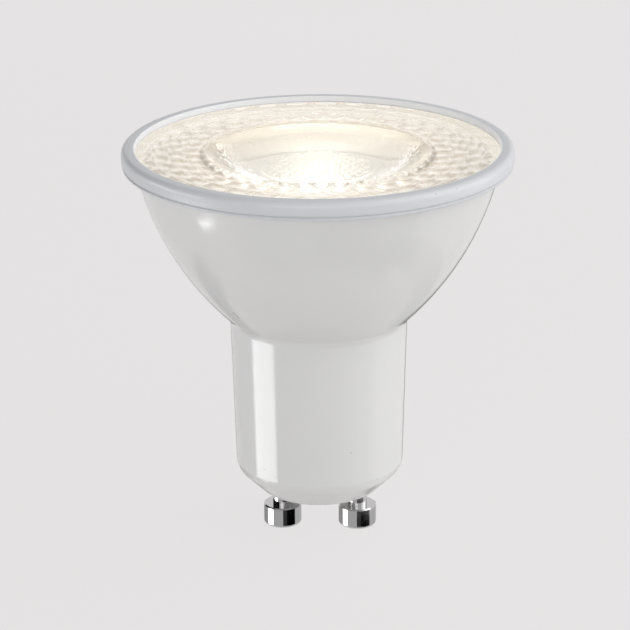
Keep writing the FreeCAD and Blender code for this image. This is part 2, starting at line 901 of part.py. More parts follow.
def make_transformer():
    """A core of two halves closed round one centre leg, and the coil on that leg."""
    level = floor_top + size("transformer_rise")
    middle = board_face - size("coil_depth") / 2
    half_width = size("core_width") / 2
    half_height = size("core_height") / 2
    half_depth = size("core_depth") / 2
    half_leg = size("core_centre_leg") / 2
    window_half = half_height - size("core_yoke")
    overrun = size("core_window_overrun")
    block = box(
        "core_block",
        (-half_width, middle - half_depth, level - half_height),
        (half_width, middle + half_depth, level + half_height),
    )
    inner_face = half_width - size("core_leg")
    windows = []
    for name, near, far in (
        ("window_right", half_leg, inner_face),
        ("window_left", -inner_face, -half_leg),
    ):
        windows.append(
            box(
                name,
                (near, middle - half_depth - overrun, level - window_half),
                (far, middle + half_depth + overrun, level + window_half),
            )
        )
    opening = doc.addObject("Part::Compound", "core_windows")
    opening.Links = windows
    core = doc.addObject("Part::Cut", "transformer_core")
    core.Label = "transformer_core"
    core.Base = block
    core.Tool = opening

    coil = new_body("transformer_coil")
    fit = size("coil_fit")
    sketch = new_sketch(coil, "XY_Plane", level - window_half)
    half_coil = size("coil_width") / 2
    draw_rectangle(sketch, -half_coil, half_coil, board_face - size("coil_depth"), board_face)
    draw_rectangle(
        sketch,
        -half_leg - fit,
        half_leg + fit,
        middle - half_depth - fit,
        middle + half_depth + fit,
    )
    wound = pad(coil, sketch, window_half * 2)
    corners = []
    for number, edge in enumerate(wound.Shape.Edges, start=1):
        start, end = (vertex.Point for vertex in edge.Vertexes)
        if abs(start.z - end.z) > 1e-3 and abs(abs(start.x) - float(half_coil)) < 1e-4:
            corners.append(f"Edge{number}")
    rounded = coil.newObject("PartDesign::Fillet", "coil_corners")
    rounded.Base = (wound, corners)
    bind(rounded, "Radius", size("coil_corner"))
    return core, coil


def make_can_capacitor(label, radius, length, across):
    """A crimped can that stands on the board's face, with its axis square to it."""
    body = new_body(label)
    crimp = size("can_crimp_height")
    crimp_width = size("can_crimp_width")
    bevel = size("can_bevel")
    corners = [
        (0, 0),
        (radius - bevel, 0),
        (radius, bevel),
        (radius, crimp),
        (radius - size("can_crimp_depth"), crimp + crimp_width / 2),
        (radius, crimp + crimp_width),
        (radius, length - bevel),
        (radius - bevel, length),
        (0, length),
    ]
    sketch = new_sketch(body, "XZ_Plane")
    draw_outline(sketch, corners)
    revolve(body, sketch)
    body.Placement = Placement(Vector(0, 0, 0), Rotation(Vector(1, 0, 0), 90))
    bind(body, "Placement.Base.x", across)
    bind(body, "Placement.Base.y", board_face)
    bind(body, "Placement.Base.z", capacitor_level)
    return body


def make_film_capacitor():
    middle = size("mains_parts_offset")
    half = size("film_capacitor_width") / 2
    half_height = size("film_capacitor_height") / 2
    return box(
        "film_capacitor",
        (middle - half, board_face - size("film_capacitor_depth"), mains_parts_level - half_height),
        (middle + half, board_face, mains_parts_level + half_height),
    )


def make_fuse_resistor():
    """An axial body with a lead bent to the board at each end."""
    radius = float(size("fuse_radius"))
    half = float(size("fuse_length")) / 2
    across = -float(size("mains_parts_offset"))
    face = float(board_face)
    level = float(mains_parts_level)
    axis = face - radius
    barrel = Part.makeCylinder(radius, 2 * half, Vector(across - half, axis, level), Vector(1, 0, 0))
    ends = [edge for edge in barrel.Edges if isinstance(edge.Curve, Part.Circle)]
    barrel = barrel.makeFillet(float(size("fuse_end_round")), ends)
    leads = []
    for side in (-1, 1):
        reach = half + float(size("lead_reach"))
        route = [
            Vector(across + side * half / 2, axis, level),
            Vector(across + side * reach, axis, level),
            Vector(across + side * reach, face, level),
        ]
        leads.append(wire_run(route, float(size("lead_bend")), float(size("lead_radius"))))
    return keep_shape("fuse_resistor", barrel.fuse(leads))


def make_back_package(label, rise):
    """A moulded package on the board's back face, its sides drawn in a little."""
    width = size(f"{label}_width")
    height = size(f"{label}_height")
    draft = size("package_draft")
    wedge = doc.addObject("Part::Wedge", label)
    for prop, length in (
        ("Xmax", width),
        ("Ymax", size(f"{label}_depth")),
        ("Zmax", height),
        ("X2min", draft),
        ("X2max", width - draft),
        ("Z2min", draft),
        ("Z2max", height - draft),
    ):
        bind(wedge, prop, length)
    bind(wedge, "Placement.Base.x", -width / 2)
    bind(wedge, "Placement.Base.y", board_back)
    bind(wedge, "Placement.Base.z", floor_top + rise - height / 2)
    return wedge


def make_chip_resistors():
    half_width = size("chip_width") / 2
    half_height = size("chip_height") / 2
    chips = []
    for line in (-1, 0, 1):
        level = floor_top + size("driver_ic_rise") + size("chip_pitch") * line
        for side in (-1, 1):
            middle = size("chip_offset") * side
            chips.append(
                box(
                    f"chip_{len(chips) + 1}",
                    (middle - half_width, board_back, level - half_height),
                    (middle + half_width, board_back + size("chip_depth"), level + half_height),
                )
            )
    group = doc.addObject("Part::Compound", "chip_resistors")
    group.Label = "chip_resistors"
    group.Links = chips
    return group


# wires


def make_mains_wire(label, side):
    """A bare wire from the pin's hollow tail, bent to the foot of the driver board."""
    across = side * float(pin_offset)
    foot = float(base_height + size("base_floor") / 2)
    tail_top = float(floor_top + size("pin_collar_height") + size("pin_tail_height"))
    level = tail_top + float(size("mains_wire_rise"))
    route = [
        Vector(across, 0, foot),
        Vector(across, 0, level),
        Vector(across, float(board_face), level),
    ]
    return keep_shape(label, wire_run(route, float(size("mains_wire_bend")), float(size("mains_wire_radius"))))


def make_led_wire(label, side):
    """An insulated wire from the driver board, up through the cup to the light source."""
    across = side * float(size("led_wire_offset"))
    level = float(ledge_height - size("led_wire_drop"))
    back = -float(wire_hole_offset)
    radius = float(size("led_wire_radius"))
    lying = float(led_board_top) + radius
    route = [
        Vector(across, float(board_face), level),
        Vector(across, back, level),
        Vector(across, back, lying),
        Vector(across, -float(wire_end), lying),
    ]
    return keep_shape(label, wire_run(route, float(size("led_wire_bend")), radius))


core, coil = make_transformer()
input_radius = size("input_capacitor_radius")
output_radius = size("output_capacitor_radius")
half_gap = size("capacitor_gap") / 2
# the larger can fills what the neck leaves in front of the board
input_side = input_radius * 2 + half_gap
input_chord = (inner_neck_top * inner_neck_top - input_side * input_side).root()
input_length = input_chord + board_face - size("input_capacitor_clearance")
bridge = make_back_package("bridge", size("bridge_rise"))
bridge.Label = "bridge_rectifier"
diode = make_back_package("diode", size("diode_rise"))
diode.Label = "rectifier_diode"
parts = [
    make_housing(),
    make_front_ring(),
    make_lens(),
    make_contact_pin("contact_pin_left", -pin_offset),
    make_contact_pin("contact_pin_right", pin_offset),
    make_heat_sink(),
    make_thermal_pad(),
    make_led_board(),
    make_led_source(),
    make_led_phosphor(),
    make_board_screws(),
    make_solder_joints(),
    make_driver_board(),
    core,
    coil,
    make_can_capacitor(
        "input_capacitor", input_radius, input_length, -input_radius - half_gap
    ),
    make_can_capacitor(
        "output_capacitor", output_radius, size("output_capacitor_length"), output_radius + half_gap
    ),
    make_film_capacitor(),
    make_fuse_resistor(),
    bridge,
    make_back_package("driver_ic", size("driver_ic_rise")),
    diode,
    make_chip_resistors(),
    make_mains_wire("mains_wire_left", -1),
    make_mains_wire("mains_wire_right", 1),
    make_led_wire("led_wire_plus", 1),
    make_led_wire("led_wire_minus", -1),
]
doc.recompute()

for thing in doc.Objects:
    if "Invalid" in thing.State or "Error" in thing.State:
        raise RuntimeError(f"{thing.Label} did not compute: {thing.State}")
for part in parts:
    if part.Shape.isNull() or not part.Shape.isValid() or not part.Shape.Solids:
        raise RuntimeError(f"{part.Label} has no valid solid")

os.makedirs("parts", exist_ok=True)
for part in parts:
    part.Shape.exportStep(f"parts/{part.Label}.step")
    shape = part.Shape
    print(f"{part.Label}: {len(shape.Solids)} solid(s), {len(shape.Faces)} faces, {shape.Volume:.1f} mm3")
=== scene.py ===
import math

import bmesh
import bpy
from mathutils import Matrix, Vector


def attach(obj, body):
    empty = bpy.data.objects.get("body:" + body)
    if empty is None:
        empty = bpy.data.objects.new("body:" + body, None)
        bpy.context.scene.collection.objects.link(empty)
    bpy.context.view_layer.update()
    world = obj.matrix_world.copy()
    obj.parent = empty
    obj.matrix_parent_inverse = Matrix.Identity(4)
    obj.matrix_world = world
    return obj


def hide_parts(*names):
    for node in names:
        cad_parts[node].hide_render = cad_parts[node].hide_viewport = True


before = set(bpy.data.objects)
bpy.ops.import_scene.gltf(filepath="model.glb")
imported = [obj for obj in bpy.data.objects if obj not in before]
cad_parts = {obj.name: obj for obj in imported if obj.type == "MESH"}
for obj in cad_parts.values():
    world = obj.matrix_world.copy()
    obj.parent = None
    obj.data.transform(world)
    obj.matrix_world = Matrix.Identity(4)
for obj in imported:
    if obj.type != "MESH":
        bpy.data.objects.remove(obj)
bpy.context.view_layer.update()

mm = 0.001


# small helpers

def toLinear(hexColour, alpha=1.0):
    # sRGB hex to the linear numbers that a shader socket takes
    channels = [int(hexColour[i:i + 2], 16) / 255 for i in (1, 3, 5)]
    return [c / 12.92 if c <= 0.04045 else ((c + 0.055) / 1.055) ** 2.4 for c in channels] + [alpha]


def addNode(tree, kind, inputs=None, **settings):
    # inputs: socket name or number -> a value, or another node's output to link
    node = tree.nodes.new(kind)
    for key, value in settings.items():
        setattr(node, key, value)
    for key, value in (inputs or {}).items():
        if isinstance(value, bpy.types.NodeSocket):
            tree.links.new(value, node.inputs[key])
        else:
            node.inputs[key].default_value = value
    return node


def newMaterial(name):
    material = bpy.data.materials.new(name)
    material.use_nodes = True
    tree = material.node_tree
    tree.nodes.clear()
    shader = addNode(tree, "ShaderNodeBsdfPrincipled")
    addNode(tree, "ShaderNodeOutputMaterial", {"Surface": shader.outputs[0]})
    return material, tree, shader


def dress(node, material):
    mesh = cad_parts[node].data
    mesh.materials.clear()
    mesh.materials.append(material)


def meshObject(name, mesh):
    thing = bpy.data.objects.new(name, mesh)
    bpy.context.scene.collection.objects.link(thing)
    return thing


def arcBetween(start, end, radius, side, steps):
    # points after start up to end, on an arc whose centre is left (side 1) or right (-1) of the chord
    (x0, y0), (x1, y1) = start, end
    half = math.hypot(x1 - x0, y1 - y0) / 2
    away = math.sqrt(radius * radius - half * half) * side
    centreX = (x0 + x1) / 2 - away * (y1 - y0) / (2 * half)
    centreY = (y0 + y1) / 2 + away * (x1 - x0) / (2 * half)
    first = math.atan2(y0 - centreY, x0 - centreX)
    sweep = math.atan2(y1 - centreY, x1 - centreX) - first
    sweep = (sweep + math.pi) % (2 * math.pi) - math.pi
    turns = [first + sweep * i / steps for i in range(1, steps + 1)]
    return [(centreX + radius * math.cos(a), centreY + radius * math.sin(a)) for a in turns]


def turned(name, profile, segments, closed=False):
    # a form turned about Z from (radius, height) points in mm; its ends lie on the axis, or meet when closed
    mesh = bpy.data.meshes.new(name)
    form = bmesh.new()
    rings = []
    for radius, height in profile:
        if radius < 1e-6:
            rings.append([form.verts.new((0, 0, height * mm))])
            continue
        rings.append([
            form.verts.new((
                radius * math.cos(2 * math.pi * i / segments) * mm,
                radius * math.sin(2 * math.pi * i / segments) * mm,
                height * mm,
            ))
            for i in range(segments)
        ])
    for low, high in zip(rings, rings[1:] + rings[:1] if closed else rings[1:]):
        for i in range(segments):
            j = (i + 1) % segments
            corners = [low[i % len(low)], low[j % len(low)], high[j % len(high)], high[i % len(high)]]
            form.faces.new([v for k, v in enumerate(corners) if v not in corners[:k]])
    bmesh.ops.recalc_face_normals(form, faces=form.faces)
    form.to_mesh(mesh)
    form.free()
    return mesh


def groupInputs(tree, sizes):
    # named sockets of a geometry tree, and the node that gives them
    tree.interface.new_socket("Geometry", in_out="INPUT", socket_type="NodeSocketGeometry")
    for label, value in sizes.items():
        kind = "NodeSocketInt" if isinstance(value, int) else "NodeSocketFloat"
        tree.interface.new_socket(label, in_out="INPUT", socket_type=kind)
    tree.interface.new_socket("Geometry", in_out="OUTPUT", socket_type="NodeSocketGeometry")
    return tree.nodes.new("NodeGroupInput")


def maths(tree, operation, *values):
    # one Math node's output
    return addNode(tree, "ShaderNodeMath", dict(enumerate(values)), operation=operation).outputs[0]


def vectors(tree, operation, *values, output="Vector"):
    # the same for vectors
    return addNode(tree, "ShaderNodeVectorMath", dict(enumerate(values)), operation=operation).outputs[output]


def fromAxis(tree, place):
    # distance from the Z axis
    return vectors(tree, "LENGTH", vectors(tree, "MULTIPLY", place, (1, 1, 0)), output="Value")


def bakeTree(thing, tree, sizes):
    # runs a geometry tree on a piece with these sizes, and keeps the plain mesh
    step = thing.modifiers.new(tree.name, "NODES")
    step.node_group = tree
    sockets = {item.name: item.identifier for item in tree.interface.items_tree if item.in_out == "INPUT"}
    for label, value in sizes.items():
        step[sockets[label]] = value
    seen = bpy.context.evaluated_depsgraph_get()
    seen.update()
    made = bpy.data.meshes.new_from_object(thing.evaluated_get(seen))
    thing.modifiers.remove(step)
    thing.data = made
    return made


# white plastic: housing and ring

def scratch(tree, place, start, end, width):
    # 1 on a short line between two points in mm, falling to 0 at its width
    start, end = Vector(start) * mm, Vector(end) * mm
    along = end - start
    fromStart = vectors(tree, "SUBTRACT", place, start)
    share = vectors(tree, "DOT_PRODUCT", fromStart, along / along.length_squared, output="Value")
    share = maths(tree, "MINIMUM", maths(tree, "MAXIMUM", share, 0.0), 1.0)
    reached = addNode(tree, "ShaderNodeVectorMath", {0: along, "Scale": share}, operation="SCALE").outputs[0]
    away = vectors(tree, "LENGTH", vectors(tree, "SUBTRACT", fromStart, reached), output="Value")
    return addNode(tree, "ShaderNodeMapRange", {
        "Value": away,
        "From Min": width * mm * 0.3,
        "From Max": width * mm,
        "To Min": 1.0,
        "To Max": 0.0,
    }, interpolation_type="SMOOTHSTEP").outputs[0]


def mouldedPlastic(name, colour, shade, roughness, peel, paintedGlow, light, wear):
    # polycarbonate from a polished mould: even satin skin, faint flow marks, a very fine orange peel
    material, tree, shader = newMaterial(name)
    place = addNode(tree, "ShaderNodeTexCoord").outputs["Object"]
    flow = addNode(tree, "ShaderNodeTexNoise", {"Vector": place, "Scale": 1 / (14 * mm), "Detail": 2.0})
    tone = addNode(tree, "ShaderNodeMix", {
        "Factor": flow.outputs[0],
        6: toLinear(colour),
        7: toLinear(shade),
    }, data_type="RGBA")
    skin = addNode(tree, "ShaderNodeTexNoise", {"Vector": place, "Scale": 1 / (3.2 * mm), "Detail": 3.0})
    spread = addNode(tree, "ShaderNodeMapRange", {
        "Value": skin.outputs[0],
        "From Min": 0.3,
        "From Max": 0.7,
        "To Min": roughness * 0.88,
        "To Max": roughness * 1.12,
    })
    pits = addNode(tree, "ShaderNodeTexNoise", {"Vector": place, "Scale": 1 / (peel["size"] * mm), "Detail": 1.0})
    bump = addNode(tree, "ShaderNodeBump", {
        "Height": pits.outputs[0],
        "Distance": peel["depth"] * mm,
        "Strength": 0.5,
    })
    shader.inputs["IOR"].default_value = 1.58  # polycarbonate
    skinTone = tone.outputs[2]
    for start, end, width, markColour in wear:
        skinTone = addNode(tree, "ShaderNodeMix", {
            "Factor": scratch(tree, place, start, end, width),
            6: skinTone,
            7: toLinear(markColour),
        }, data_type="RGBA").outputs[2]
    tree.links.new(skinTone, shader.inputs["Base Color"])
    tree.links.new(spread.outputs[0], shader.inputs["Roughness"])
    tree.links.new(bump.outputs[0], shader.inputs["Normal"])

    # painted glow: emission stands in for the lamp's light on what touches the lens
    axisDistance = fromAxis(tree, place)
    level = addNode(tree, "ShaderNodeSeparateXYZ", {0: place}).outputs[2]
    glow = 0.0
    for zone in paintedGlow:
        inside = maths(tree, "LESS_THAN", axisDistance, zone["within"] * mm)
        above = maths(tree, "GREATER_THAN", level, zone["above"] * mm)
        below = maths(tree, "LESS_THAN", level, zone["below"] * mm)
        here = maths(tree, "MULTIPLY", inside, maths(tree, "MULTIPLY", above, below))
        glow = maths(tree, "MULTIPLY_ADD", here, zone["strength"], glow)
    shader.inputs["Emission Color"].default_value = toLinear(light)
    tree.links.new(glow, shader.inputs["Emission Strength"])
    return material


housingLook = {
    "colour": "#DDDDDC",
    "shade": "#DADADA",
    "roughness": 0.145,
    "peel": {"size": 0.9, "depth": 0.004},
    # painted glow on the housing's rim under the lens
    "paintedGlow": [{"within": 24.0, "above": 49.95, "below": 52.0, "strength": 0.3}],
    "light": "#FFFAF0",
    "wear": [
        ((-10.15, -11.7, 34.0), (-9.5, -11.43, 33.15), 0.13, "#868685"),  # scratch low on the bowl
        ((-6.9, -8.6, 11.45), (-6.5, -8.9, 11.3), 0.1, "#CBCBCA"),  # scuff on the neck
        ((4.5, -10.15, 14.45), (4.65, -10.1, 14.4), 0.09, "#B5B5B4"),  # specks on the neck
        ((7.78, -7.74, 9.8), (7.85, -7.68, 9.75), 0.09, "#BDBDBC"),
    ],
}
dress("housing", mouldedPlastic("mouldedPolycarbonateHousing", **housingLook))

ringSizes = {
    "radius": 25.0,
    "bore": 23.8,
    "opening": 23.28,
    "foot": 50.25,
    "ledge": 51.86,
    "top": 52.7,
    "topRound": 0.8,
    "beadTop": 50.8,
    "beadRadius": 24.92,
    "grooveDepth": 0.25,
    "grooveHeight": 0.11,
    "edgeRound": 0.1,
    "footRound": 0.38,
    "lipRound": 0.12,
    "segments": 288,
}


def quarter(centreX, centreY, radius, start, steps):
    # a quarter turn, clockwise, from the start angle in degrees
    turns = [math.radians(start - 90 * i / steps) for i in range(steps + 1)]
    return [(centreX + radius * math.cos(a), centreY + radius * math.sin(a)) for a in turns]


r = ringSizes
profile = [(r["bore"], r["foot"]), (r["bore"], r["ledge"]), (r["opening"], r["ledge"])]
profile += quarter(r["opening"] + r["lipRound"], r["top"] - r["lipRound"], r["lipRound"], 180, 4)
profile += quarter(r["radius"] - r["topRound"], r["top"] - r["topRound"], r["topRound"], 90, 10)
grooveTop = r["beadTop"] + r["grooveHeight"]
profile += quarter(r["radius"] - r["edgeRound"], grooveTop + r["edgeRound"], r["edgeRound"], 0, 4)
profile += [(r["radius"] - r["grooveDepth"], grooveTop), (r["radius"] - r["grooveDepth"], r["beadTop"])]
profile += quarter(r["beadRadius"] - r["footRound"], r["foot"] + r["footRound"], r["footRound"], 0, 8)
ring = meshObject("moulded_ring", turned("moulded_ring", profile, r["segments"], closed=True))
ring.data.shade_smooth()
ring.data.set_sharp_from_angle(angle=math.radians(40))
ringLook = {
    "colour": "#D0D2D6",
    "shade": "#CDCFD3",
    "roughness": 0.34,
    "peel": {"size": 0.5, "depth": 0.0015},
    # painted glow on the ring's bore under the lens and on its opening face above the ledge; the second starts 0.14
    # mm above the ledge, which leaves a darker line along the lens edge
    "paintedGlow": [
        {"within": 23.86, "above": 50.0, "below": 51.88, "strength": 0.4},
        {"within": 23.42, "above": 52.0, "below": 52.75, "strength": 0.23},
    ],
    "light": "#FFFCF8",
    "wear": [
        ((17.5, -17.62, 52.38), (17.62, -17.56, 52.28), 0.11, "#AFB0B2"),  # nicks on the shoulder
        ((15.0, -19.8, 52.33), (15.15, -19.75, 52.28), 0.12, "#B4B5B7"),
    ],
}
ring.data.materials.append(mouldedPlastic("mouldedPolycarbonateRing", **ringLook))
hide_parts("front_ring")
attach(ring, "root")
print("stage: housing and ring")


# contact pins: nickel-plated brass, turned, bright

pinLook = {"nickel": "#D0D0D0", "roughness": 0.07, "turningMarks": 0.12}  # mm between marks
material, tree, shader = newMaterial("nickelPlatedBrass")
place = addNode(tree, "ShaderNodeTexCoord").outputs["Object"]
rings = addNode(tree, "ShaderNodeTexWave", {
    "Vector": place,
    "Scale": 1 / (pinLook["turningMarks"] * mm) / (2 * math.pi),
    "Distortion": 0.6,
}, bands_direction="Z")
marks = addNode(tree, "ShaderNodeBump", {"Height": rings.outputs[0], "Distance": 0.001 * mm, "Strength": 0.3})
handled = addNode(tree, "ShaderNodeTexNoise", {"Vector": place, "Scale": 1 / (1.4 * mm), "Detail": 4.0})
spread = addNode(tree, "ShaderNodeMapRange", {
    "Value": handled.outputs[0],
    "From Min": 0.35,
    "From Max": 0.7,
    "To Min": pinLook["roughness"] * 0.7,
    "To Max": pinLook["roughness"] * 1.6,
})
shader.inputs["Base Color"].default_value = toLinear(pinLook["nickel"])
shader.inputs["Metallic"].default_value = 1.0
tree.links.new(spread.outputs[0], shader.inputs["Roughness"])
tree.links.new(marks.outputs[0], shader.inputs["Normal"])
dress("contact_pin_left", material)
dress("contact_pin_right", material)
print("stage: pins")


# lens: injection-moulded acrylic, one piece

lensSizes = {
    "edgeRadius": 23.75,
    "top": 51.86,
    "under": 50.91,
    "facetOuter": 23.28,
    "facetInner": 14.9,
    "facetRows": 4,
    "facetsPerTurn": 36,
    "facetDepth": 0.32,
    "facetScallop": 0.45,
    "craterRadius": 14.3,
    "craterFloor": 49.51,
    "craterFloorRadius": 8.7,
    "craterCurve": 14.0,
    "discRadius": 7.25,
    "discTop": 49.71,
    "coneRadius": 14.9,
    "coneFoot": 39.5,
    "coneFootRadius": 6.4,
    "coneCurve": 24.0,
    "dimpleSize": 0.9,
    "dimpleDepth": 0.06,
    "pocketFootRadius": 5.4,
    "pocketRadius": 4.9,
    "pocketTop": 44.8,
    "pocketSag": 1.152,
    "pocketCurve": 11.0,
    "cellPitch": 1.22,
    "cellGap": 0.12,
    "cellHeight": 0.16,
    "cellRise": 0.22,
}
stepsPerFacet = 8  # mesh steps across one facet, both ways
s = lensSizes
profile = [(0, s["discTop"]), (s["discRadius"], s["discTop"]), (s["discRadius"], s["craterFloor"])]
profile.append((s["craterFloorRadius"], s["craterFloor"]))
profile += arcBetween(profile[-1], (s["craterRadius"], s["top"]), s["craterCurve"], 1, 14)
facetBand = s["facetOuter"] - s["facetInner"]
bandSteps = s["facetRows"] * stepsPerFacet
profile += [(s["facetInner"] + facetBand * i / bandSteps, s["top"]) for i in range(bandSteps + 1)]
profile += [(s["edgeRadius"], s["top"]), (s["edgeRadius"], s["under"]), (s["coneRadius"], s["under"])]
profile += arcBetween(profile[-1], (s["coneFootRadius"], s["coneFoot"]), s["coneCurve"], -1, 22)
profile += [(s["pocketFootRadius"], s["coneFoot"]), (s["pocketRadius"], s["pocketTop"])]
profile += arcBetween(profile[-1], (0, s["pocketTop"] - s["pocketSag"]), s["pocketCurve"], -1, 10)
lens = meshObject("faceted_lens", turned("faceted_lens", profile, s["facetsPerTurn"] * stepsPerFacet))

acrylicLook = {
    "tint": "#FFFEFA",
    "ior": 1.49,
    "polished": 0.0,
    "frosted": 0.26,
    "glow": [  # mm from the axis, strength, colour
        (0.0, 0.17, "#FFFFFF"),
        (6.0, 0.15, "#FFFEFA"),
        (9.0, 0.115, "#FFFAF2"),
        (12.0, 0.07, "#FFF4E4"),
        (13.4, 0.15, "#FFF1DC"),
        (14.7, 0.12, "#FFF0D9"),
        (17.5, 0.11, "#FFF0D9"),
        (20.0, 0.082, "#FFF0D9"),
        (24.0, 0.065, "#FFF1DC"),
    ],
    "underGlow": 0.4,
    "coneGlow": 0.45,
}
acrylic, tree, shader = newMaterial("mouldedAcrylic")
place = addNode(tree, "ShaderNodeTexCoord").outputs["Object"]
strain = addNode(tree, "ShaderNodeTexNoise", {"Vector": place, "Scale": 1 / (2.5 * mm), "Detail": 2.0})
waves = addNode(tree, "ShaderNodeBump", {"Height": strain.outputs[0], "Distance": 0.01 * mm, "Strength": 0.4})
shader.inputs["Base Color"].default_value = toLinear(acrylicLook["tint"])
shader.inputs["IOR"].default_value = acrylicLook["ior"]
shader.inputs["Transmission Weight"].default_value = 1.0
axisDistance = fromAxis(tree, place)
level = addNode(tree, "ShaderNodeSeparateXYZ", {0: place}).outputs[2]
onUnderside = maths(tree, "COMPARE", level, s["under"] * mm, 0.02 * mm)
pastCone = maths(tree, "GREATER_THAN", axisDistance, (s["coneRadius"] - 0.05) * mm)
frost = addNode(tree, "ShaderNodeMapRange", {
    "Value": maths(tree, "MULTIPLY", onUnderside, pastCone),
    "To Min": acrylicLook["polished"],
    "To Max": acrylicLook["frosted"],
})
tree.links.new(frost.outputs[0], shader.inputs["Roughness"])
# painted glow: the acrylic's emission, ramped by distance from the axis and whitest in the middle, stands in for
# the lamp's light in the lens
furthest = acrylicLook["glow"][-1][0]
glow = addNode(tree, "ShaderNodeValToRGB", {0: maths(tree, "DIVIDE", axisDistance, furthest * mm)})
ramp = glow.color_ramp
while len(ramp.elements) < len(acrylicLook["glow"]):
    ramp.elements.new(0.5)
for element, (distance, strength, colour) in zip(ramp.elements, acrylicLook["glow"]):
    element.position = distance / furthest
    element.color = [strength * c for c in toLinear(colour)[:3]] + [1]
# the collimator cone is peened, so it breaks the light up into sparkles
dimples = addNode(tree, "ShaderNodeTexVoronoi", {
    "Vector": place,
    "Scale": 1 / (s["dimpleSize"] * mm),
}, feature="SMOOTH_F1")
belowCrater = maths(tree, "LESS_THAN", level, (s["craterFloor"] - 0.1) * mm)
peened = addNode(tree, "ShaderNodeBump", {
    "Height": dimples.outputs[0],
    "Distance": s["dimpleDepth"] * mm,
    "Strength": belowCrater,
    "Normal": waves.outputs[0],
})
# less painted glow on the underside and on the cone
underShare = maths(tree, "SUBTRACT", 1.0, maths(tree, "MULTIPLY", onUnderside, 1 - acrylicLook["underGlow"]))
coneShare = maths(tree, "SUBTRACT", 1.0, maths(tree, "MULTIPLY", belowCrater, 1 - acrylicLook["coneGlow"]))
shares = maths(tree, "MULTIPLY", underShare, coneShare)
tree.links.new(glow.outputs[0], shader.inputs["Emission Color"])
tree.links.new(shares, shader.inputs["Emission Strength"])
tree.links.new(peened.outputs[0], shader.inputs["Normal"])

# facet rows: every point of the flat ring sinks into its own shallow dish
facetInputs = {
    "Facets Per Turn": s["facetsPerTurn"],
    "Rows": s["facetRows"],
    "Inner Radius": s["facetInner"] * mm,
    "Outer Radius": s["facetOuter"] * mm,
    "Face Height": s["top"] * mm,
    "Depth": s["facetDepth"] * mm,
    "Scallop": s["facetScallop"] * mm,
}
tree = bpy.data.node_groups.new("facetRows", "GeometryNodeTree")
given = groupInputs(tree, facetInputs)
where = addNode(tree, "ShaderNodeSeparateXYZ", {0: tree.nodes.new("GeometryNodeInputPosition").outputs[0]})
x, y, z = where.outputs
squares = maths(tree, "ADD", maths(tree, "MULTIPLY", x, x), maths(tree, "MULTIPLY", y, y))
radius = maths(tree, "SQRT", squares)
band = maths(tree, "SUBTRACT", given.outputs["Outer Radius"], given.outputs["Inner Radius"])
inward = maths(tree, "SUBTRACT", given.outputs["Outer Radius"], radius)
rowPlace = maths(tree, "DIVIDE", maths(tree, "MULTIPLY", inward, given.outputs["Rows"]), band)
lastPlace = maths(tree, "SUBTRACT", given.outputs["Rows"], 0.5)
row = maths(tree, "FLOOR", maths(tree, "MINIMUM", rowPlace, lastPlace))
across = maths(tree, "SUBTRACT", maths(tree, "MULTIPLY", maths(tree, "SUBTRACT", rowPlace, row), 2.0), 1.0)
turn = maths(tree, "DIVIDE", maths(tree, "ARCTAN2", y, x), 2 * math.pi)
stagger = maths(tree, "MULTIPLY", maths(tree, "FLOORED_MODULO", row, 2.0), 0.5)
facet = maths(tree, "ADD", maths(tree, "MULTIPLY", turn, given.outputs["Facets Per Turn"]), stagger)
facetPlace = maths(tree, "FRACT", maths(tree, "ADD", facet, 0.5001))  # just past half, clear of the seams
along = maths(tree, "SUBTRACT", maths(tree, "MULTIPLY", facetPlace, 2.0), 1.0)
fallAcross = maths(tree, "SUBTRACT", 1.0, maths(tree, "MULTIPLY", across, across))
fallAlong = maths(tree, "SUBTRACT", 1.0, maths(tree, "MULTIPLY", along, along))
sink = maths(tree, "MULTIPLY", maths(tree, "MULTIPLY", fallAcross, fallAlong), given.outputs["Depth"])
lastRow = maths(tree, "COMPARE", row, maths(tree, "SUBTRACT", given.outputs["Rows"], 1.0), 0.1)
nearRim = maths(tree, "MULTIPLY", maths(tree, "MULTIPLY", maths(tree, "ADD", across, 1.0), 0.5), lastRow)
pull = maths(tree, "MULTIPLY", maths(tree, "MULTIPLY", nearRim, fallAlong), given.outputs["Scallop"])
shrink = maths(tree, "DIVIDE", pull, maths(tree, "MAXIMUM", radius, 1e-6))
shift = addNode(tree, "ShaderNodeCombineXYZ", {
    0: maths(tree, "MULTIPLY", maths(tree, "MULTIPLY", x, shrink), -1.0),
    1: maths(tree, "MULTIPLY", maths(tree, "MULTIPLY", y, shrink), -1.0),
    2: maths(tree, "MULTIPLY", sink, -1.0),
})
onFace = maths(tree, "COMPARE", z, given.outputs["Face Height"], 0.01 * mm)
insideOuter = maths(tree, "GREATER_THAN", inward, -0.001 * mm)
insideInner = maths(tree, "LESS_THAN", inward, maths(tree, "ADD", band, 0.001 * mm))
chosen = maths(tree, "MULTIPLY", onFace, maths(tree, "MULTIPLY", insideOuter, insideInner))
moved = addNode(tree, "GeometryNodeSetPosition", {
    "Geometry": given.outputs["Geometry"],
    "Selection": chosen,
    "Offset": shift.outputs[0],
})
whole = addNode(tree, "GeometryNodeRealizeInstances", {"Geometry": moved.outputs[0]})
finished = addNode(tree, "GeometryNodeSetMaterial", {"Geometry": whole.outputs[0], "Material": acrylic})
addNode(tree, "NodeGroupOutput", {"Geometry": finished.outputs[0]})
bakeTree(lens, tree, facetInputs)
print("stage: facet rows", len(lens.data.vertices))

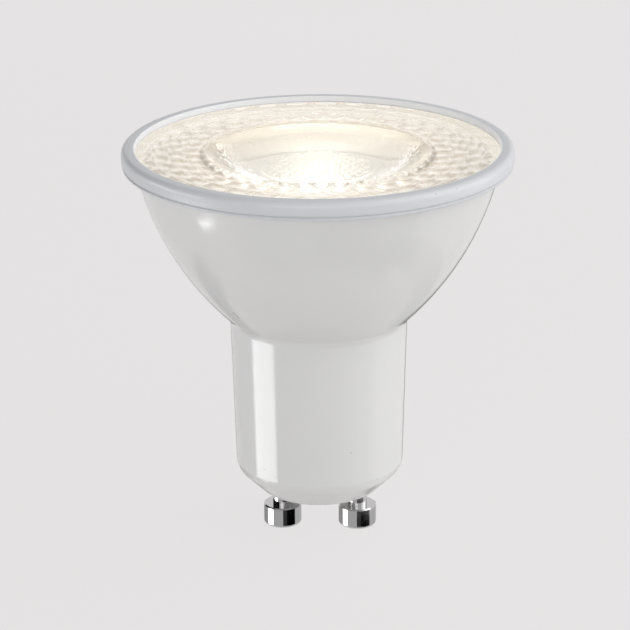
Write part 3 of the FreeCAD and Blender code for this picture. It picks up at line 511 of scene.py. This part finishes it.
# lenslets: small six-sided domes, close-packed on the disc
cellInputs = {
    "Pitch": s["cellPitch"] * mm,
    "Gap": s["cellGap"] * mm,
    "Disc Radius": s["discRadius"] * mm,
    "Disc Height": s["discTop"] * mm,
    "Edge Height": s["cellHeight"] * mm,
    "Middle Rise": s["cellRise"] * mm,
    "Root": 0.05 * mm,
}
tree = bpy.data.node_groups.new("lensletCells", "GeometryNodeTree")
given = groupInputs(tree, cellInputs)
linesAcross = 15
corner = maths(tree, "DIVIDE", maths(tree, "SUBTRACT", given.outputs["Pitch"], given.outputs["Gap"]), math.sqrt(3))
limit = maths(tree, "SUBTRACT", given.outputs["Disc Radius"], corner)
sheet = addNode(tree, "GeometryNodeMeshGrid", {
    "Size X": float(linesAcross - 1),
    "Size Y": float(linesAcross - 1),
    "Vertices X": linesAcross,
    "Vertices Y": linesAcross,
})
where = addNode(tree, "ShaderNodeSeparateXYZ", {0: tree.nodes.new("GeometryNodeInputPosition").outputs[0]})
column, line, level = where.outputs
staggered = maths(tree, "ADD", column, maths(tree, "MULTIPLY", line, 0.5))
packed = addNode(tree, "ShaderNodeCombineXYZ", {
    0: maths(tree, "MULTIPLY", staggered, given.outputs["Pitch"]),
    1: maths(tree, "MULTIPLY", maths(tree, "MULTIPLY", line, math.sqrt(3) / 2), given.outputs["Pitch"]),
    2: given.outputs["Disc Height"],
})
spots = addNode(tree, "GeometryNodeSetPosition", {"Geometry": sheet.outputs[0], "Position": packed.outputs[0]})
spot = addNode(tree, "ShaderNodeSeparateXYZ", {0: tree.nodes.new("GeometryNodeInputPosition").outputs[0]})
away = maths(tree, "SQRT", maths(
    tree, "ADD",
    maths(tree, "MULTIPLY", spot.outputs[0], spot.outputs[0]),
    maths(tree, "MULTIPLY", spot.outputs[1], spot.outputs[1]),
))
kept = addNode(tree, "GeometryNodeDeleteGeometry", {
    "Geometry": spots.outputs[0],
    "Selection": maths(tree, "GREATER_THAN", away, limit),
}, domain="POINT")
share = maths(tree, "DIVIDE", away, limit)
fall = maths(tree, "SUBTRACT", 1.0, maths(tree, "MULTIPLY", share, share))
rise = maths(tree, "MULTIPLY", fall, given.outputs["Middle Rise"])
height = maths(tree, "ADD", rise, given.outputs["Edge Height"])
cone = addNode(tree, "GeometryNodeMeshCone", {
    "Vertices": 6,
    "Side Segments": 5,
    "Fill Segments": 1,
    "Radius Top": 0.0,
    "Radius Bottom": 1.0,
    "Depth": 1.0,
})
where = addNode(tree, "ShaderNodeSeparateXYZ", {0: tree.nodes.new("GeometryNodeInputPosition").outputs[0]})
heightIn = where.outputs[2]
domed = maths(tree, "MULTIPLY", heightIn, maths(tree, "SUBTRACT", 2.0, heightIn))
lift = maths(tree, "SUBTRACT", domed, heightIn)
dome = addNode(tree, "GeometryNodeSetPosition", {
    "Geometry": cone.outputs[0],
    "Offset": addNode(tree, "ShaderNodeCombineXYZ", {2: lift}).outputs[0],
})
turnedDome = addNode(tree, "GeometryNodeTransform", {
    "Geometry": dome.outputs[0],
    "Rotation": (0, 0, math.radians(30)),
})
size = addNode(tree, "ShaderNodeCombineXYZ", {
    0: corner,
    1: corner,
    2: maths(tree, "ADD", height, given.outputs["Root"]),
})
cells = addNode(tree, "GeometryNodeInstanceOnPoints", {
    "Points": kept.outputs[0],
    "Instance": turnedDome.outputs[0],
    "Scale": size.outputs[0],
})
down = addNode(tree, "ShaderNodeCombineXYZ", {2: maths(tree, "MULTIPLY", given.outputs["Root"], -1.0)})
sunk = addNode(tree, "GeometryNodeTranslateInstances", {
    "Instances": cells.outputs[0],
    "Translation": down.outputs[0],
})
plainCells = addNode(tree, "GeometryNodeRealizeInstances", {"Geometry": sunk.outputs[0]})
joined = addNode(tree, "GeometryNodeMeshBoolean", {
    "Mesh 2": given.outputs["Geometry"],
}, operation="UNION", solver="MANIFOLD")
tree.links.new(plainCells.outputs[0], joined.inputs["Mesh 2"])
whole = addNode(tree, "GeometryNodeRealizeInstances", {"Geometry": joined.outputs[0]})
finished = addNode(tree, "GeometryNodeSetMaterial", {"Geometry": whole.outputs[0], "Material": acrylic})
addNode(tree, "NodeGroupOutput", {"Geometry": finished.outputs[0]})
bakeTree(lens, tree, cellInputs)
lens.data.shade_smooth()
lens.data.set_sharp_from_angle(angle=math.radians(22))
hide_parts("lens")
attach(lens, "root")
print("stage: lenslets", len(lens.data.vertices))


# what shines: the phosphor, and a painted glow on the cavity that it lights

lampLight = "#FFF7EA"  # warm white


def glowing(name, colour, glow, strength, roughness=0.5, metallic=0.0):
    # a part of the light source, or a painted glow on what it lights
    material, tree, shader = newMaterial(name)
    place = addNode(tree, "ShaderNodeTexCoord").outputs["Object"]
    grain = addNode(tree, "ShaderNodeTexNoise", {"Vector": place, "Scale": 1 / (0.6 * mm), "Detail": 3.0})
    spread = addNode(tree, "ShaderNodeMapRange", {
        "Value": grain.outputs[0],
        "From Min": 0.3,
        "From Max": 0.7,
        "To Min": roughness * 0.85,
        "To Max": min(1.0, roughness * 1.15),
    })
    tree.links.new(spread.outputs[0], shader.inputs["Roughness"])
    shader.inputs["Base Color"].default_value = toLinear(colour)
    shader.inputs["Metallic"].default_value = metallic
    shader.inputs["Emission Color"].default_value = toLinear(glow)
    shader.inputs["Emission Strength"].default_value = strength
    return material


sourceLooks = {  # material, colour, glow, strength, then roughness and metallic where they differ
    "led_phosphor": ("litPhosphor", "#F2D68A", "#FFFEFC", 7.0),
    "led_source": ("aluminaCeramic", "#F0EEE8", "#FFFEFC", 6.0),
    # the board and the heat sink are no lamp: their emission is a painted glow of the lamp's light
    "led_board": ("whiteSolderMask", "#F2F1EC", lampLight, 0.03),
    "heat_sink": ("pressedAluminium", "#D9D9D8", lampLight, 0.17, 0.32, 1.0),
}
for node, look in sourceLooks.items():
    dress(node, glowing(*look))
print("stage: light source")


# what lies inside: only a cut or a window would show it

def insideMaterial(name, colour, shade, roughness, relief, metallic=0.0):
    # two close tones, uneven gloss and a fine relief
    material, tree, shader = newMaterial(name)
    place = addNode(tree, "ShaderNodeTexCoord").outputs["Object"]
    clouds = addNode(tree, "ShaderNodeTexNoise", {"Vector": place, "Scale": 1 / (1.5 * mm), "Detail": 3.0})
    tone = addNode(tree, "ShaderNodeMix", {
        "Factor": clouds.outputs[0],
        6: toLinear(colour),
        7: toLinear(shade),
    }, data_type="RGBA")
    grain = addNode(tree, "ShaderNodeTexNoise", {"Vector": place, "Scale": 1 / (0.4 * mm), "Detail": 2.0})
    spread = addNode(tree, "ShaderNodeMapRange", {
        "Value": grain.outputs[0],
        "From Min": 0.3,
        "From Max": 0.7,
        "To Min": roughness * 0.8,
        "To Max": min(1.0, roughness * 1.2),
    })
    bump = addNode(tree, "ShaderNodeBump", {"Height": grain.outputs[0], "Distance": relief * mm, "Strength": 0.6})
    shader.inputs["Metallic"].default_value = metallic
    tree.links.new(tone.outputs[2], shader.inputs["Base Color"])
    tree.links.new(spread.outputs[0], shader.inputs["Roughness"])
    tree.links.new(bump.outputs[0], shader.inputs["Normal"])
    return material


insideLooks = {  # colour, shade, roughness, relief in mm, metallic where it is metal
    "siliconePad": ("#BFC2C7", "#B2B5BA", 0.7, 0.01),
    "zincPlatedSteel": ("#B8B8B3", "#A6A69F", 0.3, 0.004, 1.0),
    "tinSolder": ("#C2C2C7", "#ABABB2", 0.25, 0.02, 1.0),
    "solderMaskedLaminate": ("#2A5C38", "#234E2F", 0.4, 0.01),
    "sinteredFerrite": ("#2E2E31", "#242427", 0.55, 0.02),
    "polyesterTape": ("#E6C83C", "#D9B92F", 0.3, 0.008),
    "shrunkSleeve": ("#1A1C24", "#23252D", 0.35, 0.008),
    "mouldedFilmCase": ("#CFBC80", "#C4B074", 0.5, 0.012),
    "ceramicCoating": ("#5A8460", "#4F7855", 0.45, 0.02),
    "mouldedEpoxy": ("#232324", "#1B1B1C", 0.5, 0.01),
    "coatedAlumina": ("#2B2B2E", "#38383B", 0.5, 0.01),
    "tinnedCopper": ("#C0C0C2", "#A8A8AB", 0.3, 0.006, 1.0),
    "redSilicone": ("#B31915", "#A31410", 0.55, 0.008),
    "blackSilicone": ("#1F1F1F", "#171717", 0.55, 0.008),
}
insideMaterials = {name: insideMaterial(name, *look) for name, look in insideLooks.items()}
for node, name in {
    "thermal_pad": "siliconePad",
    "board_screws": "zincPlatedSteel",
    "led_solder_joints": "tinSolder",
    "driver_board": "solderMaskedLaminate",
    "transformer_core": "sinteredFerrite",
    "transformer_coil": "polyesterTape",
    "input_capacitor": "shrunkSleeve",
    "output_capacitor": "shrunkSleeve",
    "film_capacitor": "mouldedFilmCase",
    "fuse_resistor": "ceramicCoating",
    "bridge_rectifier": "mouldedEpoxy",
    "driver_ic": "mouldedEpoxy",
    "rectifier_diode": "mouldedEpoxy",
    "chip_resistors": "coatedAlumina",
    "mains_wire_left": "tinnedCopper",
    "mains_wire_right": "tinnedCopper",
    "led_wire_plus": "redSilicone",
    "led_wire_minus": "blackSilicone",
}.items():
    dress(node, insideMaterials[name])
print("stage: inside")


# camera at the photograph's angle

cameraPlace = {"position": (-0.498, -306.04, 141.11), "pitch": 20.03, "roll": -0.385, "turn": 2.89, "lens": 142.863}
camera = bpy.data.objects.new("camera", bpy.data.cameras.new("camera"))
bpy.context.scene.collection.objects.link(camera)
camera.data.lens = cameraPlace["lens"]
camera.data.sensor_width = 36.0
camera.data.clip_start = 0.01
camera.matrix_world = (
    Matrix.Rotation(math.radians(cameraPlace["turn"]), 4, "Z")
    @ Matrix.Translation(Vector(cameraPlace["position"]) * mm)
    @ Matrix.Rotation(math.radians(90 - cameraPlace["pitch"]), 4, "X")
    @ Matrix.Rotation(math.radians(cameraPlace["roll"]), 4, "Z")
)
bpy.context.scene.camera = camera
bpy.context.scene.view_settings.view_transform = "Standard"


# floor and world

paper = "#E7E5E5"
floorMesh = bpy.data.meshes.new("floor")
reach = 3.0
corners = [(-reach, -reach, 0), (reach, -reach, 0), (reach, reach, 0), (-reach, reach, 0)]
floorMesh.from_pydata(corners, [], [(0, 1, 2, 3)])
floor = meshObject("floor", floorMesh)
floor.visible_glossy = False  # the pins show the cards below it instead
material, tree, shader = newMaterial("palePaper")
output = next(n for n in tree.nodes if n.type == "OUTPUT_MATERIAL")
shader.inputs["Base Color"].default_value = toLinear(paper)
shader.inputs["Roughness"].default_value = 0.9
shader.inputs["Specular IOR Level"].default_value = 0.0
ray = addNode(tree, "ShaderNodeLightPath")
paint = addNode(tree, "ShaderNodeEmission", {"Color": toLinear(paper), "Strength": 1.0})
flat = addNode(tree, "ShaderNodeMixShader", {
    0: maths(tree, "MULTIPLY", ray.outputs["Is Camera Ray"], 0.93),  # the rest keeps the bulb's shadow
    1: shader.outputs[0],
    2: paint.outputs[0],
})
tree.links.new(flat.outputs[0], output.inputs["Surface"])
floor.data.materials.append(material)

world = bpy.data.worlds.new("studio")
bpy.context.scene.world = world
world.use_nodes = True
tree = world.node_tree
tree.nodes.clear()
ray = addNode(tree, "ShaderNodeLightPath")
glossOrGlass = maths(tree, "MAXIMUM", ray.outputs["Is Glossy Ray"], ray.outputs["Is Transmission Ray"])
shown = maths(tree, "MAXIMUM", ray.outputs["Is Camera Ray"], glossOrGlass)
soft = addNode(tree, "ShaderNodeBackground", {"Color": (1, 1, 1, 1), "Strength": 0.8})
seenBackground = addNode(tree, "ShaderNodeBackground", {"Color": toLinear(paper), "Strength": 1.0})
both = addNode(tree, "ShaderNodeMixShader", {0: shown, 1: soft.outputs[0], 2: seenBackground.outputs[0]})
addNode(tree, "ShaderNodeOutputWorld", {"Surface": both.outputs[0]})


# lamps

bulbMiddle = Vector((0, 0, 30 * mm))


def towards(azimuth, elevation, distance):
    # a point seen from the bulb's middle; azimuth 0 is the camera's side and grows to the photo's right
    a, e = math.radians(azimuth), math.radians(elevation)
    way = Vector((math.sin(a) * math.cos(e), -math.cos(a) * math.cos(e), math.sin(e)))
    return way * distance + bulbMiddle


def softbox(name, azimuth, elevation, distance, width, height, radiance, spin=0.0):
    # a flat lamp that faces the bulb; radiance 1 is as bright as white paper
    light = bpy.data.lights.new(name, "AREA")
    light.shape = "RECTANGLE"
    light.size, light.size_y = width, height
    light.energy = radiance * math.pi * width * height
    lamp = bpy.data.objects.new(name, light)
    bpy.context.scene.collection.objects.link(lamp)
    lamp.location = towards(azimuth, elevation, distance)
    aim = (bulbMiddle - lamp.location).to_track_quat("-Z", "Y")
    lamp.rotation_euler = (aim.to_matrix() @ Matrix.Rotation(math.radians(spin), 3, "Z")).to_euler()
    lamp.visible_camera = False
    return lamp


softLamps = {  # azimuth, elevation, distance, width, height, radiance
    "rightFill": (92, 4, 0.6, 0.56, 0.44, 1.35),
    "rightHigh": (78, 40, 0.6, 0.5, 0.36, 1.2),
    "leftLow": (-84, 3, 0.6, 0.5, 0.2, 3.6),
    "frontFill": (-6, 10, 0.7, 0.4, 0.3, 1.8),
}
glossLamps = {  # the same, and a spin; these only show in the gloss
    "stripLeft": (-76.5, -24, 0.5, 0.29, 0.12, 4.9, 0),  # the tall highlight on the neck
    "diamondLeft": (-82.5, -37.5, 0.49, 0.1, 0.018, 7.5, -4),  # the small one on the bowl
}
for name, place in softLamps.items():
    softbox(name, *place)
for name, place in glossLamps.items():
    softbox(name, *place).visible_diffuse = False


def card(name, fromAzimuth, toAzimuth, low, high, tone, distance=0.4, blocks=False):
    # a curved sheet of card that only gloss shows, or that blocks light as well
    mesh = bpy.data.meshes.new(name)
    panels = 8
    turns = [fromAzimuth + (toAzimuth - fromAzimuth) * i / panels for i in range(panels + 1)]
    points = [towards(a, e, distance) for e in (low, high) for a in turns]
    mesh.from_pydata(points, [], [(i, i + 1, i + panels + 2, i + panels + 1) for i in range(panels)])
    sheet = meshObject(name, mesh)
    material, tree, shader = newMaterial(name)
    output = next(n for n in tree.nodes if n.type == "OUTPUT_MATERIAL")
    shine = addNode(tree, "ShaderNodeEmission", {"Color": toLinear(tone), "Strength": 1.0})
    tree.links.new(shine.outputs[0], output.inputs["Surface"])
    mesh.materials.append(material)
    sheet.visible_camera = sheet.visible_transmission = False
    sheet.visible_diffuse = sheet.visible_shadow = blocks


cards = {  # azimuth from and to, elevation from and to, tone
    "rightCard": (4, 78, -62, -4, "#8E8E8E"),
    "leftCard": (-58, 4, -62, -4, "#B2B2B2"),
    "backCard": (164, 196, -50, -2, "#3C3C3C"),  # the dark line along the outline
}
for name, place in cards.items():
    card(name, *place)
card("flag", -152, -36, 13, 76, "#0A0A0A", blocks=True)  # shades the ring's left shoulder
pinCards = {  # low and near, so that only the pins show them
    "elevation": (-47, -35),
    "distance": 0.12,
    "tones": [  # azimuth from and to, tone
        (-180, -103, "#A2A2A2"),
        (-60, 2, "#BEBEBE"),
        (2, 26, "#3A3A3A"),
        (26, 84, "#050505"),
        (84, 180, "#C6C6C6"),
    ],
}
for start, end, tone in pinCards["tones"]:
    card("pinCard", start, end, *pinCards["elevation"], tone, pinCards["distance"])
print("stage: studio")
